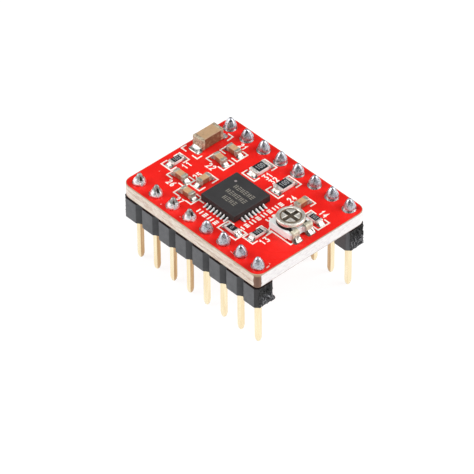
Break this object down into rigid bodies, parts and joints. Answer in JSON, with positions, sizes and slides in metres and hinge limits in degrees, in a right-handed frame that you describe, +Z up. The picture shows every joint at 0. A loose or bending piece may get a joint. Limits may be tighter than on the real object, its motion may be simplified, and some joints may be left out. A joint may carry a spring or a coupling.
{
  "type": "stepper driver module",
  "caption": "Small red stepper motor driver board on two rows of header pins, with a driver chip, chip capacitors and resistors, and a screwdriver-set current trimmer.",
  "frame": {"origin": "centre of the pin grid, at the height of the pin tips that the module stands on", "axes": "+X along the two pin rows, towards the trimmer's end of the board; +Y across the board from the near row to the far row; +Z up, out of the board's component side"},
  "size_m": [0.0204, 0.0152, 0.0118],
  "materials": {
    "board": "glossy red solder mask on glass-fibre laminate with bare straw-coloured edges",
    "housing": "satin black moulded plastic",
    "pin": "pale gold plating",
    "solder": "bright smooth solder",
    "chip_moulding": "matt charcoal moulding compound",
    "copper": "plated copper",
    "silicon": "polished silicon, opaque",
    "capacitor_ceramic": "fired tan ceramic with tinned ends",
    "resistor_body": "black overglaze on white ceramic with tinned ends",
    "trimmer_ceramic": "white ceramic",
    "resistive_film": "matt black film",
    "trimmer_metal": "stamped grey-beige metal",
    "terminal_metal": "tinned metal"
  },
  "bodies": {
    "module": {"circuit_board": "board", "header_housing_near": "housing", "pin_near_1": "pin", "solder_near_1": "solder", "pin_near_2": "pin", "solder_near_2": "solder", "pin_near_3": "pin", "solder_near_3": "solder", "pin_near_4": "pin", "solder_near_4": "solder", "pin_near_5": "pin", "solder_near_5": "solder", "pin_near_6": "pin", "solder_near_6": "solder", "pin_near_7": "pin", "solder_near_7": "solder", "pin_near_8": "pin", "solder_near_8": "solder", "header_housing_far": "housing", "pin_far_1": "pin", "solder_far_1": "solder", "pin_far_2": "pin", "solder_far_2": "solder", "pin_far_3": "pin", "solder_far_3": "solder", "pin_far_4": "pin", "solder_far_4": "solder", "pin_far_5": "pin", "solder_far_5": "solder", "pin_far_6": "pin", "solder_far_6": "solder", "pin_far_7": "pin", "solder_far_7": "solder", "pin_far_8": "pin", "solder_far_8": "solder", "driver_chip_moulding": "chip_moulding", "driver_chip_die_pad": "copper", "driver_chip_die": "silicon", "bulk_capacitor": "capacitor_ceramic", "capacitor_1": "capacitor_ceramic", "capacitor_2": "capacitor_ceramic", "capacitor_3": "capacitor_ceramic", "capacitor_4": "capacitor_ceramic", "capacitor_5": "capacitor_ceramic", "capacitor_6": "capacitor_ceramic", "resistor_1": "resistor_body", "resistor_2": "resistor_body", "resistor_3": "resistor_body", "resistor_4": "resistor_body", "sense_resistor_1": "resistor_body", "sense_resistor_2": "resistor_body", "trimmer_substrate": "trimmer_ceramic", "trimmer_track": "resistive_film", "trimmer_terminal_1": "terminal_metal", "trimmer_terminal_2": "terminal_metal", "trimmer_terminal_3": "terminal_metal"},
    "rotor": {"trimmer_rotor": "trimmer_metal", "trimmer_wiper": "terminal_metal"}
  },
  "joints": [
    {"name": "trimmer_turn", "type": "hinge", "parent": "module", "child": "rotor", "pos_m": [0.00697, 0, 0.01152], "axis": [0, 0, 1], "range_deg": [-130, 130]}
  ]
}
